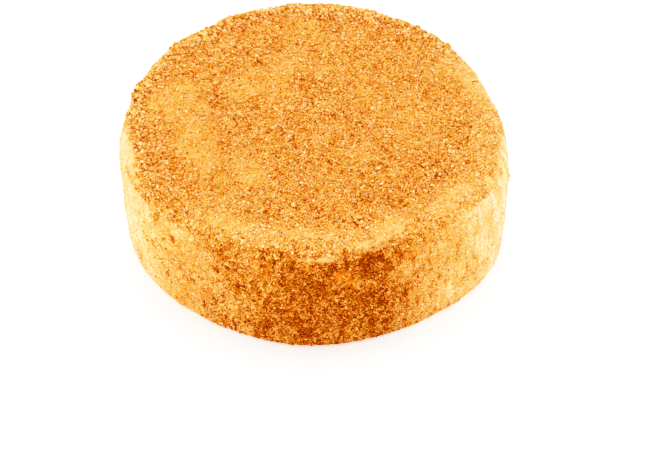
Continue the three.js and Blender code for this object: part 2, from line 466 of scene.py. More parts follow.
    scorched_patches: tuple[Patch, ...] = make_patches(
        (-139.0, 120.5, 60.0, 2.2, 4.5, 0.8), (-99.0, 117.6, 66.7, 2.2, 2.0, 1.0),
        (-43.0, 122.0, 26.5, 1.6, 4.0, 0.8), (-89.0, 123.0, 45.0, 8.0, 10.0, 0.3),
        (-75.5, 120.0, 58.0, 4.5, 8.0, 0.75), (-86.0, 120.5, 60.0, 9.0, 2.5, 0.4),
        (-96.0, 122.8, 21.6, 5.0, 6.0, 0.4), (-92.0, 123.6, 12.0, 7.0, 5.0, 0.4),
        (-137.0, 121.0, 40.0, 1.2, 3.0, 0.8), (-112.0, 120.5, 53.6, 1.6, 3.0, 0.6),
        (-114.0, 121.0, 43.6, 1.6, 2.5, 0.7), (-111.0, 120.7, 38.0, 1.6, 2.5, 0.7),
        (-116.0, 120.1, 20.7, 1.8, 2.5, 0.7),
    )
    bare_edges: tuple[Patch, ...] = make_patches(
        (-166.0, 115.5, 67.5, 28.0, 5.0, 1.0), (-8.0, 116.0, 67.0, 26.0, 4.0, 0.9),
        (-66.0, 116.0, 66.5, 20.0, 3.5, 0.6), (-115.0, 116.5, 66.0, 14.0, 3.5, 0.6),
    )
    # Where a bit of dark crust or of cream lies on the top, as angle and radius, over what height
    # that is looked for, and how far off its middle a speck ends.
    crust_specks: tuple[tuple[float, float], ...] = (
        (-33.0, 27.0), (-78.0, 40.0), (-114.0, 28.0), (-126.0, 24.0), (-147.0, 23.0), (-39.0, 83.0),
        (-36.0, 88.0), (-29.0, 82.0), (-24.0, 98.0), (-18.0, 89.0), (20.0, 105.0), (-96.0, 109.0),
        (-92.0, 113.0), (-89.0, 87.0), (-80.0, 92.0),
    )
    cream_specks: tuple[tuple[float, float], ...] = (
        (109.0, 41.0), (146.0, 55.0), (121.0, 51.0), (133.0, 18.0), (-150.0, 11.0), (-148.0, 19.0),
        (18.0, 39.0), (-100.0, 72.0), (34.0, 100.0), (37.0, 82.0), (54.0, 101.0), (-11.0, 63.0),
        (-19.0, 85.0), (-38.0, 112.0),
    )
    top_height: float = 66.0
    speck: Reach = (2.0, 0.8)

    def largest(self, patches: tuple[Patch, ...], spots: Spots) -> Array:
        """The share of whichever patch a spot belongs to most."""
        return np.max([patch.share(spots) for patch in patches], axis=0)

    def parts(self, weights: Weights, spots: Spots) -> list[Array]:
        """Gives the shares of some zones, each times its weight."""
        return [weight * getattr(self, zone)(spots) for zone, weight in weights]

    def total(self, weights: Weights, spots: Spots) -> Array:
        """Adds up the shares of some zones, each times its weight."""
        return sum(self.parts(weights, spots))

    def most(self, weights: Weights, spots: Spots) -> Array:
        """Gives the largest share of some zones, each times its weight."""
        return np.maximum.reduce(self.parts(weights, spots))

    def scale(self, weights: Weights, spots: Spots) -> Array:
        """Gives a factor that each of some zones raises or lowers by its weight."""
        return math.prod(1.0 + part for part in self.parts(weights, spots))

    def top(self, spots: Spots) -> Array:
        """The top and the upper part of the shoulder, down to a ragged edge."""
        level = ease(spots.normals[:, 2] + spots.mix(self.top_edge), *self.slope)
        return level * (1.0 - self.edge_bareness * self.largest(self.bare_edges, spots))

    def wall(self, spots: Spots) -> Array:
        """The wall and the lower part of the shoulder."""
        return 1.0 - self.top(spots)

    def near(self, places: tuple[tuple[float, float], ...], spots: Spots) -> Array:
        """Says which spots of the top lie on a speck.

        Args:
            places: The angle and the radius of each speck's middle.
            spots: Places on the coat.

        Returns:
            1 on a speck and 0 off it.
        """
        angles, radii = np.radians([place[0] for place in places]), np.array([place[1] for place in places])
        off = np.full(len(spots.points), np.inf)
        for x, y in zip(radii * np.cos(angles), radii * np.sin(angles)):
            off = np.minimum(off, np.hypot(spots.points[:, 0] - x, spots.points[:, 1] - y))
        return ease(off, *self.speck) * (spots.height > self.top_height)

    def front(self, spots: Spots) -> Array:
        """The front of the wall, toasted and darkened with painted shade, with a thin fringe on its left.

        Args:
            spots: Places on the coat.

        Returns:
            Its share at each.
        """
        turn = spots.turn_from(FRONT) + spots.mix(self.front_edge)
        left = self.fringe * ease(turn, *self.fringe_reach)
        left += (1.0 - self.fringe) * ease(turn, *self.front_left)
        return left * ease(turn, *self.front_right) * self.wall(spots)

    def pale(self, spots: Spots) -> Array:
        """The stretches of the wall where little but cream and straw crumbs cover it, made paler with painted
        light too.

        Args:
            spots: Places on the coat.

        Returns:
            Their share at each.
        """
        turn = spots.turn_from(FRONT) + spots.mix(self.pale_edge)
        sides = ease(turn, *self.pale_right) + ease(turn, *self.pale_left)
        return sides * (1.0 - self.back_cover * ease(np.abs(turn), *self.back_reach)) * self.wall(spots)

    def dents(self, spots: Spots) -> Array:
        """Short dents that the spatula dragged down the wall beside the front, darkened with painted shade.

        Args:
            spots: Places on the coat.

        Returns:
            Their share at each.
        """
        turn = spots.turn_from(FRONT)
        beside = sum(share * ease(turn, *near) * ease(turn, *far) for share, near, far in self.dented)
        strokes = ease(spots.mix(self.dent_strokes), *self.dent_reach)
        broken = ease(spots.mix(self.dent_breaks), *self.dent_whole)
        return strokes * broken * beside * ease(spots.height, *self.dented_height) * self.wall(spots)

    def drift(self, spots: Spots) -> Array:
        """How much lighter or darker than usual the crumbs of a spot are.

        Args:
            spots: Places on the coat.

        Returns:
            The change of tone at each, from single clusters, whole drifts and the lighter outer band of the
            top.
        """
        clusters = spots.mix(self.clusters) * self.scale(self.cluster_scale, spots)
        drifts = spots.mix(self.drifts) * self.scale(self.drift_scale, spots)
        return clusters + drifts + self.outer_band_lighter * self.outer_band(spots)

    def outer_band(self, spots: Spots) -> Array:
        """The outermost band of the top in front and on the right, which is made lighter.

        Args:
            spots: Places on the coat.

        Returns:
            Its share at each.
        """
        around = ease(np.abs(spots.turn_from(self.outer_band_angle)), *self.outer_band_around)
        across = ease(spots.radius, *self.outer_band_outside) * ease(spots.radius, *self.outer_band_inside)
        return around * across * self.top(spots)

    def clear_of_table(self, spots: Spots) -> Array:
        """Everything but the very foot."""
        return ease(spots.height, *self.foot)

    def back_rim(self, spots: Spots) -> Array:
        """The band along the back of the rim where loose crumbs were swept together.

        Args:
            spots: Places on the coat.

        Returns:
            Its share at each.
        """
        around = ease(np.abs(spots.turn_from(self.band_angle)), *self.band_reach)
        across = np.exp(-(((spots.radius - self.rim - self.crest) / self.band) ** 2))
        return around * across * self.top(spots)

    def cream(self, spots: Spots) -> Array:
        """The smears of bare cream."""
        return self.largest(self.cream_patches, spots)

    def pressed(self, spots: Spots) -> Array:
        """The smooth stretches of the top."""
        stray = self.stray_pressed * ease(spots.mix(self.stray_layers), *self.stray_reach)
        return np.maximum(self.largest(self.pressed_patches, spots), stray) * self.top(spots)

    def soaked(self, spots: Spots) -> Array:
        """The honey-soaked stretches of the wall."""
        whole = ease(spots.mix(self.soaked_breaks), *self.soaked_whole)
        return self.largest(self.soaked_patches, spots) * whole

    def scorched(self, spots: Spots) -> Array:
        """The clumps of dark crumbs."""
        return self.largest(self.scorched_patches, spots)

    def gaps(self, spots: Spots) -> Array:
        """The holes in the wall's cover of crumbs, where the coat shows, sunk and darkened with painted
        shade.

        Args:
            spots: Places on the coat.

        Returns:
            Their share at each.
        """
        front = self.front(spots)
        clumps = spots.mix(self.clumps) + spots.mix(self.gap_streaks) + self.front_gaps * front
        share = ease(clumps, *self.gap_reach) * (self.side_gaps + (1.0 - self.side_gaps) * front)
        share *= (1.0 - self.pale_filled * self.pale(spots)) * self.wall(spots)
        return np.maximum.reduce([share, self.scorched_gaps * self.scorched(spots), self.dents(spots)])

    def pits(self, spots: Spots) -> Array:
        """The small holes between the loose crumbs of the top, where it isn't pressed, sunk and darkened with
        painted shade.

        Args:
            spots: Places on the coat.

        Returns:
            Their share at each.
        """
        least = self.least_rough
        rough = least + (1.0 - least) * ease(spots.mix(self.rough_layers), *self.rough_reach)
        holes = ease(spots.mix(self.pit_layers), *self.pit_reach)
        where = np.maximum(rough * (1.0 - self.pressed(spots)), self.rim_pits * self.back_rim(spots))
        return holes * where * self.top(spots)

    def mounds(self, spots: Spots) -> Array:
        """Where the crumbs along the back of the rim lie in heaps."""
        return self.back_rim(spots) * ease(spots.mix(self.mound_layers), *self.mound_reach)

    def smooth(self, spots: Spots) -> Array:
        """Where the coat has little relief."""
        return self.most(self.smoothness, spots).clip(0.0, 1.0)


# ---------------------------------------------------------------------------------------- finishes
@dataclass(frozen=True)
class SpongeFinish:
    """Honey sponge, baked, dried and rubbed to crumbs.

    The open crumb has no gloss of its own. Light that gets in between the crumbs comes out deeper
    and redder, so every gap reads as orange, and colours run from burnt crust to pale straw.

    Attributes:
        name: The material's name.
        crust: The darkest crumbs.
        toasted: Crumbs from near the crust.
        golden: The common crumb.
        straw: Crumbs from the middle of a sheet.
        pale: The lightest crumbs.
        roughness: How dull it is.
        pore: How wide a pore in a crumb is, in millimetres.
        relief: How deep the pores look, in millimetres.
        mottle_and_pore_shade: How far a pore's tone strays from its crumb's, which is more to the dark side.
        gloss: How strongly its face mirrors light; open crumb is too rough to mirror any.
        ior: How strongly it bends light.
        pore_noise: The detail and the roughness of the pattern of pores.
        pore_reach: The part of that pattern that tones are spread over.
        pore_tones: How far the two ends of that part stray, as shares of the mottle.
    """

    name: str
    crust: str = "#903a0a"
    toasted: str = "#c87a1b"
    golden: str = "#dca04e"
    straw: str = "#f1b876"
    pale: str = "#fad8b8"
    roughness: float = 0.9
    pore: float = 0.7
    relief: float = 0.15
    # Random mottle plus painted shade: pores are darker where the bump sinks them.
    mottle_and_pore_shade: float = 0.4
    gloss: float = 0.0
    ior: float = 1.4
    pore_noise: tuple[float, float] = (2.0, 0.6)
    pore_reach: Reach = (0.3, 0.7)
    pore_tones: Reach = (-1.1, 0.8)

    def ramp(self, tree: bpy.types.NodeTree, tone: bpy.types.NodeSocket) -> bpy.types.Node:
        """Turns a tone into the sponge's colour.

        Args:
            tree: The node tree.
            tone: From 0, crust, to 1, pale.

        Returns:
            The ramp node.
        """
        made = add_node(tree, "ShaderNodeValToRGB", inputs={"Fac": tone})
        colours = (self.crust, self.toasted, self.golden, self.straw, self.pale)
        for _ in colours[2:]:
            made.color_ramp.elements.new(0.5)
        for index, colour in enumerate(colours):
            made.color_ramp.elements[index].position = index / (len(colours) - 1)
            made.color_ramp.elements[index].color = linear(colour)
        return made

    def pores(self, tree: bpy.types.NodeTree) -> bpy.types.NodeSocket:
        """Makes the pattern of pores. They are smaller than a picture's dot but for close views.

        Args:
            tree: The node tree.

        Returns:
            The pattern, from 0 to 1.
        """
        place = add_node(tree, "ShaderNodeTexCoord").outputs["Object"]
        detail, roughness = self.pore_noise
        looks = {"Vector": place, "Scale": 1.0 / (self.pore * MM), "Detail": detail, "Roughness": roughness}
        return add_node(tree, "ShaderNodeTexNoise", inputs=looks).outputs["Fac"]

    def surface(
        self,
        tree: bpy.types.NodeTree,
        colour: bpy.types.NodeSocket,
        bump: bpy.types.NodeSocket,
        roughness: bpy.types.NodeSocket | float,
    ) -> None:
        """Adds the shader and the output.

        Args:
            tree: The node tree.
            colour: The surface's colour.
            bump: The surface's direction.
            roughness: How dull it is.
        """
        looks = {"Base Color": colour, "Normal": bump, "Roughness": roughness}
        looks |= {"IOR": self.ior, "Specular IOR Level": self.gloss}
        shader = add_node(tree, "ShaderNodeBsdfPrincipled", inputs=looks)
        add_node(tree, "ShaderNodeOutputMaterial", inputs={"Surface": shader.outputs["BSDF"]})

    def material(self) -> bpy.types.Material:
        """Makes the finish as a node material.

        Returns:
            The material, coloured by each crumb's tone.
        """
        made = blank_material(self.name)
        tree = made.node_tree
        add = partial(add_node, tree)
        tone = add("ShaderNodeAttribute", {"attribute_name": TONE}).outputs["Fac"]
        pores = self.pores(tree)
        # The pores' hollows are painted darker, as painted shade, on top of a random mottle.
        (low, high), (dark, light) = self.pore_reach, self.pore_tones
        spread = {"Value": pores, "From Min": low, "From Max": high}
        spread |= {"To Min": dark * self.mottle_and_pore_shade, "To Max": light * self.mottle_and_pore_shade}
        stray = add("ShaderNodeMapRange", inputs=spread).outputs["Result"]
        mixed = add("ShaderNodeMath", {"operation": "ADD", "use_clamp": True}, {0: tone, 1: stray})
        ramp = self.ramp(tree, mixed.outputs["Value"])
        bump = add("ShaderNodeBump", inputs={"Strength": 1.0, "Distance": self.relief * MM, "Height": pores})
        self.surface(tree, ramp.outputs["Color"], bump.outputs["Normal"], self.roughness)
        return made


@dataclass(frozen=True)
class CoatFinish(SpongeFinish):
    """The layer of crumbs that is bedded in the cake's outer cream.

    The crumbs stand shoulder to shoulder as small round lumps, with painted shade in deep orange
    between them. Where the spatula went over bare cream it is smooth, buttery and a little glossy.

    Attributes:
        straw: Crumbs from the middle of a sheet, which the cream under them warms.
        cream: The cream's colour.
        honey: The colour of crumbs that are soaked with honey, which glow where light gets in.
        bedded: How wide a bedded crumb is, in millimetres.
        bedding: How deep the gaps between bedded crumbs look, in millimetres.
        crumb_spread: How far a bedded crumb's tone strays.
        gap_shade_tone: How much darker the gaps between them are, as a tone.
        gap_reach: How far off a crumb's middle a gap starts, and where it is deepest, in crumbs.
        smooth_relief: How much of the pattern is left where the coat is smooth.
        cream_roughness: How dull the cream is.
        gloss: How strongly cream and fat mirror light.
    """

    straw: str = "#f2ba82"
    cream: str = "#f9cd98"
    honey: str = "#f88a18"
    bedded: float = 1.15
    bedding: float = 0.35
    crumb_spread: float = 0.5
    # Painted shade: the sunk gaps between bedded crumbs are painted darker.
    gap_shade_tone: float = 0.35
    gap_reach: Reach = (0.35, 0.85)
    smooth_relief: float = 0.12
    cream_roughness: float = 0.5
    gloss: float = 0.03

    def material(self) -> bpy.types.Material:
        """Makes the finish as a node material.

        Returns:
            The material, coloured by the coat's tone and by its share of cream.
        """
        made = blank_material(self.name)
        add = partial(add_node, made.node_tree)
        place = add("ShaderNodeTexCoord").outputs["Object"]
        tone, cream, smooth, honey = (
            add("ShaderNodeAttribute", {"attribute_name": name}).outputs["Fac"]
            for name in (TONE, CREAM, SMOOTH, HONEY)
        )
        cells = {"Vector": place, "Scale": 1.0 / (self.bedded * MM), "Randomness": 1.0}
        lumps = add("ShaderNodeTexVoronoi", inputs=cells)
        number, off = lumps.outputs["Color"], lumps.outputs["Distance"]
        half = self.crumb_spread / 2.0
        each = add("ShaderNodeMapRange", inputs={"Value": number, "To Min": -half, "To Max": half})
        # Painted shade: the farther from a bedded crumb's middle, the darker and the deeper.
        start, deepest = self.gap_reach
        between = {"Value": off, "From Min": start, "From Max": deepest, "To Max": -self.gap_shade_tone}
        gap_shading = add("ShaderNodeMapRange", {"interpolation_type": "SMOOTHSTEP"}, between)
        both = {0: each.outputs["Result"], 1: gap_shading.outputs["Result"]}
        pattern = add("ShaderNodeMath", {"operation": "ADD"}, both).outputs["Value"]
        left = {"Value": smooth, "To Min": 1.0, "To Max": self.smooth_relief}
        relief = add("ShaderNodeMapRange", inputs=left).outputs["Result"]
        added = {0: pattern, 1: relief, 2: tone}
        mixed = add("ShaderNodeMath", {"operation": "MULTIPLY_ADD", "use_clamp": True}, added)
        colour = self.ramp(made.node_tree, mixed.outputs["Value"]).outputs["Color"]
        for share, over in ((honey, self.honey), (cream, self.cream)):
            blended = {"Factor": share, 6: colour, 7: linear(over)}
            colour = add("ShaderNodeMix", {"data_type": "RGBA"}, blended).outputs[2]
        height = add("ShaderNodeMath", {"operation": "MULTIPLY"}, {0: off, 1: relief}).outputs["Value"]
        depth = {"Strength": 1.0, "Distance": self.bedding * MM, "Height": height}
        bump = add("ShaderNodeBump", {"invert": True}, depth)
        shine = {"Value": smooth, "To Min": self.roughness, "To Max": self.cream_roughness}
        dull = add("ShaderNodeMapRange", inputs=shine).outputs["Result"]
        self.surface(made.node_tree, colour, bump.outputs["Normal"], dull)
        return made


# ------------------------------------------------------------------------------------------ meshes
@dataclass(frozen=True)
class Skin:
    """A triangle mesh in millimetres that crumbs can be scattered over.

    Attributes:
        points: Its corners.
        normals: The outward direction at each corner.
        faces: Three corner numbers for each triangle.
    """

    points: Array
    normals: Array
    faces: Array

    def scatter(self, count: int, weight: Callable[[Spots], Array], draw: np.random.Generator) -> Spots:
        """Draws places on the skin.

        Args:
            count: How many places.
            weight: How thickly they lie at a spot, from 0 up.
            draw: The seeded source of random numbers.

        Returns:
            The places, with the skin's direction at each.
        """
        corners = self.points[self.faces]
        area = np.linalg.norm(np.cross(corners[:, 1] - corners[:, 0], corners[:, 2] - corners[:, 0]), axis=1)
        middles = Spots(corners.mean(axis=1), self.normals[self.faces].mean(axis=1))
        share = np.cumsum(area * weight(middles))
        picked = np.searchsorted(share, draw.random(count) * share[-1])
        one, two = draw.random((2, count))
        folded = one + two > 1.0
        one, two = np.where(folded, 1.0 - one, one), np.where(folded, 1.0 - two, two)
        shares = np.stack([1.0 - one - two, one, two], axis=1)[:, :, None]
        normals = unit((self.normals[self.faces[picked]] * shares).sum(axis=1))
        return Spots((corners[picked] * shares).sum(axis=1), normals)


def mesh_object(name: str, points: Array, faces: Array, material: bpy.types.Material) -> bpy.types.Object:
    """Makes a triangle mesh object with sharp edges, of many points at once.

    Args:
        name: The object's name.
        points: Its corners in millimetres.
        faces: Three corner numbers for each triangle.
        material: Its material.

    Returns:
        The object, linked to the scene.
    """
    mesh = bpy.data.meshes.new(name)
    mesh.vertices.add(len(points))
    mesh.vertices.foreach_set("co", (points * MM).astype(np.float32).ravel())
    mesh.loops.add(faces.size)
    mesh.loops.foreach_set("vertex_index", faces.astype(np.int32).ravel())
    mesh.polygons.add(len(faces))
    mesh.polygons.foreach_set("loop_start", np.arange(0, faces.size, 3, dtype=np.int32))
    mesh.update(calc_edges=True)
    mesh.shade_flat()
    mesh.materials.append(material)
    return add_object(name, mesh)


def set_attribute(mesh: bpy.types.Mesh, name: str, values: Array) -> None:
    """Stores one number for each point of a mesh.

    Args:
        mesh: The mesh.
        name: The attribute's name.
        values: One number for each point.
    """
    attribute = mesh.attributes.new(name, "FLOAT", "POINT")
    attribute.data.foreach_set("value", values.astype(np.float32))


def report(piece: bpy.types.Object) -> None:
    """Makes a piece ride with the cake and logs its size.

    Args:
        piece: The finished piece.
    """
    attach(piece, CAKE_BODY)
    mesh = piece.data
    triangles = sum(len(face.vertices) - 2 for face in mesh.polygons)
    LOG.info("%s: %d points, %d triangles", piece.name, len(mesh.vertices), triangles)


@dataclass(frozen=True)
class BakeSheet:
    """How the coat's skin is laid out flat, on a sheet of width 1, for its colours to be baked to.

    The top is a disc at the upper left, the wall is four strips in a column on the right, and the
    base is a small disc at the lower left.

    Attributes:
        half: Half the width of the square that the top and the base are drawn in.
        base_height: What is lower than that belongs to the base.
        edge_height: Where the wall's strips end.
        edge_radius: What is lower than that and farther out belongs to the wall.
        top_share: The width of the top's disc on the sheet.
        base_share: The width of the base's disc.
        strip_left: Where the strips start.
        strip_width: How wide a strip is on the sheet.
        strip_arc: How much of the wall's length that shows, in millimetres.
        strip_pitch: How far apart the strips lie, in millimetres.
        margin: How far over the sheet's edge the lowest strip starts, in millimetres.
        strips: How many strips the wall is cut into.
    """

    half: float = 127.0
    base_height: float = 0.01
    edge_height: float = 65.0
    edge_radius: float = 100.0
    top_share: float = 0.6
    base_share: float = 0.38
    strip_left: float = 0.61
    strip_width: float = 0.38
    strip_arc: float = 206.0
    strip_pitch: float = 82.0
    margin: float = 1.0
    strips: int = 4

    def lay_out(self, mesh: bpy.types.Mesh, points: Array) -> None:
        """Adds the map.

        Args:
            mesh: The coat.
            points: Its corners in millimetres.
        """
        corner, sides = np.empty(len(mesh.loops), np.int32), np.empty(len(mesh.polygons), np.int32)
        mesh.loops.foreach_get("vertex_index", corner)
        mesh.polygons.foreach_get("loop_total", sides)
        face = np.repeat(np.arange(len(sides)), sides)
        place = points[corner]
        middle = np.stack([np.bincount(face, along) for along in place.T], axis=1) / sides[:, None]
        base = middle[:, 2] < self.base_height
        outside = np.hypot(middle[:, 0], middle[:, 1]) > self.edge_radius
        wall = (middle[:, 2] < self.edge_height) & outside & ~base
        flat = (place[:, :2] + self.half) / (2.0 * self.half)
        spread = flat * self.top_share + [0.0, 1.0 - self.top_share]
        spread = np.where(base[face][:, None], flat * self.base_share, spread)
        quarter = 2.0 * math.pi / self.strips
        around = np.arctan2(middle[:, 1], middle[:, 0]) + math.pi
        strip = np.floor(around / quarter).clip(0, self.strips - 1)
        heading = (strip + 0.5) * quarter - math.pi
        turn = np.arctan2(place[:, 1], place[:, 0]) - heading[face]
        turn = (turn + math.pi) % (2.0 * math.pi) - math.pi
        scale = self.strip_width / self.strip_arc
        along = self.strip_left + self.strip_width / 2.0 + turn * np.hypot(place[:, 0], place[:, 1]) * scale
        up = (place[:, 2] + self.margin + strip[face] * self.strip_pitch) * scale
        spread = np.where(wall[face][:, None], np.stack([along, up], axis=1), spread)
        layer = mesh.uv_layers.new(name=BAKE_MAP)
        layer.uv.foreach_set("vector", spread.clip(0.0, 1.0).astype(np.float32).ravel())


@dataclass
class CrumbCoat:
    """The cake's body: the plain solid's skin, drawn in by a crumb and roughened.

    Attributes:
        zones: Where each kind of surface lies.
        sheet: How its skin is laid out flat.
        cell: The width of a mesh cell.
        inset: How far the skin is drawn in, to leave room for the crumbs on it.
    """

    zones: Zones
    sheet: BakeSheet
    cell: float = 1.17
    inset: float = 0.95
    # The relief: single crumbs pressed in, clods, the heaps along the back of the rim, what the
    # zones add, and the heights over which it starts at the foot.
    fine: Layers = (NoiseLayer(0.3, 2.0, 42), NoiseLayer(0.18, 1.2, 43))
    coarse: Layers = (NoiseLayer(0.35, 5.5, 41),)
    mound: float = 2.8
    rise: Weights = (("cream", 0.5), ("gaps", -0.7), ("pits", -0.5))
    free: Reach = (0.2, 3.0)
    # The base: the upward part of its faces' direction at most, how low they lie, in cells, and the
    # height under which no crumb lies.
    down: float = -0.95
    low: float = 0.6
    off_table: float = 0.05
    # The tone where no zone changes it, what the zones add, which on the front is partly painted shade
    # and in the pits, the dents and between the clods along the back of the rim is painted shade, how
    # much lighter the pale wall is, partly with painted light, with its streaks, how much darker gaps
    # are with painted shade, and how much less so in the pale wall, how far a dark clump takes over
    # and its tone, the darkest tone, and how strongly honey colours what it soaks.
    common: float = 0.5
    shades: Weights = (
        ("top", -0.07), ("pressed", 0.12), ("back_rim", -0.1), ("pits", -0.3), ("front", -0.2),
        ("dents", -0.2),
    )
    pale_light: float = 0.4
    pale_streaks: Layers = (NoiseLayer(0.16, 2.4, 17, 5.0),)
    gap_shade: float = 0.14
    pale_gaps: float = 0.4
    scorch: float = 0.7
    scorched_tone: float = 0.22
    darkest: float = 0.16
    honeyed: float = 0.7

    def remeshed(self) -> bpy.types.Mesh:
        """Gives the plain solid's skin in even cells.

        Returns:
            A new mesh in metres.
        """
        source = add_object("coat_source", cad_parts[CAKE_NODE].data.copy())
        remesh = source.modifiers.new("cells", "REMESH")
        remesh.mode = "VOXEL"
        remesh.voxel_size = self.cell * MM
        graph = bpy.context.evaluated_depsgraph_get()
        mesh = bpy.data.meshes.new_from_object(source.evaluated_get(graph))
        bpy.data.objects.remove(source)
        return mesh

    def with_plain_base(self, mesh: bpy.types.Mesh) -> None:
        """Makes the flat base one face, since nothing shows there.

        Args:
            mesh: The mesh in metres, which is changed.
        """
        form = bmesh.new()
        form.from_mesh(mesh)
        facing = [face for face in form.faces if face.normal.z < self.down]
        flat = [face for face in facing if face.calc_center_median().z < self.low * self.cell * MM]
        bmesh.ops.delete(form, geom=flat, context="FACES")
        rim = [edge for edge in form.edges if edge.is_boundary]
        for corner in {corner for edge in rim for corner in edge.verts}:
            corner.co.z = 0.0
        bmesh.ops.holes_fill(form, edges=rim)
        bmesh.ops.recalc_face_normals(form, faces=form.faces)
        form.to_mesh(mesh)
        form.free()

    def tone(self, spots: Spots) -> Array:
        """Gives the coat's colour between the crumbs, with painted shade and painted light in some zones.

        Args:
            spots: Places on the coat.

        Returns:
            The tone at each, from 0, crust, to 1, pale.
        """
        zones, pale = self.zones, self.zones.pale(spots)
        base = self.common + zones.drift(spots) + zones.total(self.shades, spots)
        base += (self.pale_light + spots.mix(self.pale_streaks)) * pale
        base -= self.gap_shade * zones.gaps(spots) * (1.0 - self.pale_gaps * pale)
        scorched = self.scorch * zones.scorched(spots)
        return ((1.0 - scorched) * base + self.scorched_tone * scorched).clip(self.darkest, 1.0)

    def build(self, material: bpy.types.Material) -> tuple[bpy.types.Object, Skin]:
        """Makes the coat and the skin that crumbs lie on.

        Args:
            material: The coat's material.

        Returns:
            The coat, which replaces the plain solid, and its skin.
        """
        mesh = self.remeshed()
        self.with_plain_base(mesh)
        points, normals = read_mesh(mesh)
        zones, spots = self.zones, Spots(points, normals)
        lift = spots.mix(self.coarse) + (1.0 - zones.smooth(spots)) * spots.mix(self.fine)
        lift += zones.total(self.rise, spots) + self.mound * zones.mounds(spots) - self.inset
        points = points + normals * (lift * ease(spots.height, *self.free))[:, None]
        points = points.clip(*(np.array(corner) / MM for corner in CAD_BOX))
        mesh.vertices.foreach_set("co", (points * MM).astype(np.float32).ravel())
        mesh.update()
        set_attribute(mesh, TONE, self.tone(spots))
        set_attribute(mesh, CREAM, zones.cream(spots))
        set_attribute(mesh, SMOOTH, zones.smooth(spots))
        set_attribute(mesh, HONEY, self.honeyed * zones.soaked(spots))
        mesh.materials.clear()
        mesh.materials.append(material)
        mesh.shade_smooth()
        self.sheet.lay_out(mesh, points)
        coat = add_object("crumb_coat", mesh)
        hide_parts(CAKE_NODE)
        return coat, self.skin(mesh)

    def skin(self, mesh: bpy.types.Mesh) -> Skin:
        """Reads the finished coat as triangles, without its base.

        Args:
            mesh: The finished mesh in metres.

        Returns:
            The skin in millimetres.
        """
        mesh.calc_loop_triangles()
        faces = np.empty(len(mesh.loop_triangles) * 3, np.int32)
        mesh.loop_triangles.foreach_get("vertices", faces)
        faces = faces.reshape(-1, 3)
        points, normals = read_mesh(mesh)
        off_table = points[faces][:, :, 2].max(axis=1) > self.off_table
        return Skin(points, normals, faces[off_table])


# ------------------------------------------------------------------------------------------ crumbs
class CrumbForm(Enum):
    """The solids that crumbs are broken from, by how many sides a crumb of its size needs."""

    GRAIN = "octahedron"
    CHIP = "icosahedron"

    def solid(self) -> tuple[Array, Array]:
        """Gives the unit solid.

        Returns:
            Its corners, and three corner numbers for each side, turning outwards.
        """
        if self is CrumbForm.GRAIN:
            corners = np.array([[1, 0, 0], [0, 1, 0], [-1, 0, 0], [0, -1, 0], [0, 0, 1], [0, 0, -1]], float)
        else:
            golden = (1.0 + math.sqrt(5.0)) / 2.0
            ring = [(0.0, a, b * golden) for a in (-1.0, 1.0) for b in (-1.0, 1.0)]
            corners = np.array([np.roll(corner, turn) for turn in range(3) for corner in ring])
            corners /= np.linalg.norm(corners[0])
        form = bmesh.new()
        for corner in corners:
            form.verts.new(corner)
        bmesh.ops.convex_hull(form, input=form.verts)
        form.verts.index_update()
        sides = np.array([[corner.index for corner in side.verts] for side in form.faces])
        form.free()
        a, b, c = (corners[sides[:, turn]] for turn in range(3))
        inward = (np.cross(b - a, c - a) * a).sum(axis=1) < 0.0
        sides[inward] = sides[inward][:, ::-1]
        return corners, sides


@dataclass(frozen=True)
class CrumbKind:
    """One kind of loose crumb, made as one joined mesh.

    Attributes:
        name: The piece's name.
        form: The solid that a crumb is broken from.
        count: How many there are.
        sizes: The smallest and the largest length.
        tone: The mean colour, from 0, crust, to 1, pale.
        spread: How far single crumbs stray from that colour.
        weight: How thickly they lie at a spot.
        flatness: A crumb's thickness as a share of its length.
        lift: How far a crumb's middle lies over the skin, as a share of its thickness.
        heap: How high loose ones are heaped at most where the rim's band is full.
        seed: Which random draw is used.
    """

    name: str
    form: CrumbForm
    count: int
    sizes: tuple[float, float]
    tone: float
    spread: float
    weight: Callable[[Spots], Array]
    flatness: float
    lift: float
    heap: float
    seed: int


